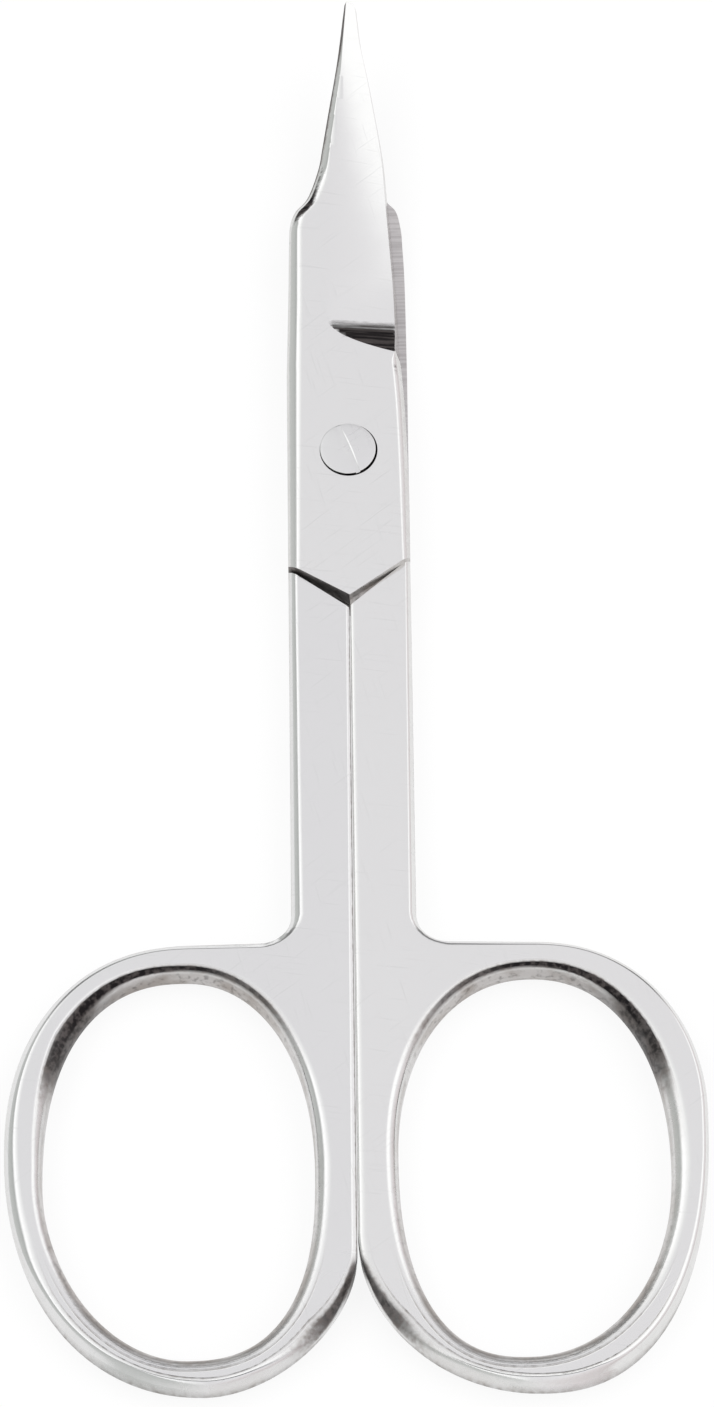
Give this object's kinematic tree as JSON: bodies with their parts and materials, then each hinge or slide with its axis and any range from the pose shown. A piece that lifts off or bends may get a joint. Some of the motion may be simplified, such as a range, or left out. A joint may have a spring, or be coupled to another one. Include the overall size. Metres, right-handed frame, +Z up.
{
  "type": "nail scissors",
  "caption": "Small polished steel nail scissors with upward-curved pointed blades, a flush slotted pivot screw and oval finger rings.",
  "frame": {"origin": "centre of the bounding box in plan, on the plane of the back half's outer joint face, on which the scissors lie", "axes": "+X to the right half's ring, +Y from the finger rings to the blade tips, +Z up, to the side of the screw's slotted head, along the pivot"},
  "size_m": [0.0434, 0.0948, 0.0066],
  "materials": {
    "back_steel": "polished stainless steel",
    "front_steel": "polished stainless steel",
    "screw_steel": "fine turned steel"
  },
  "bodies": {
    "back": {"back_half": "back_steel", "pivot_screw": "screw_steel"},
    "front": {"front_half": "front_steel"}
  },
  "joints": [
    {"name": "pivot", "type": "hinge", "parent": "back", "child": "front", "pos_m": [0, 0.0158, 0.00165], "axis": [0, 0, 1], "range_deg": [0, 100]}
  ]
}
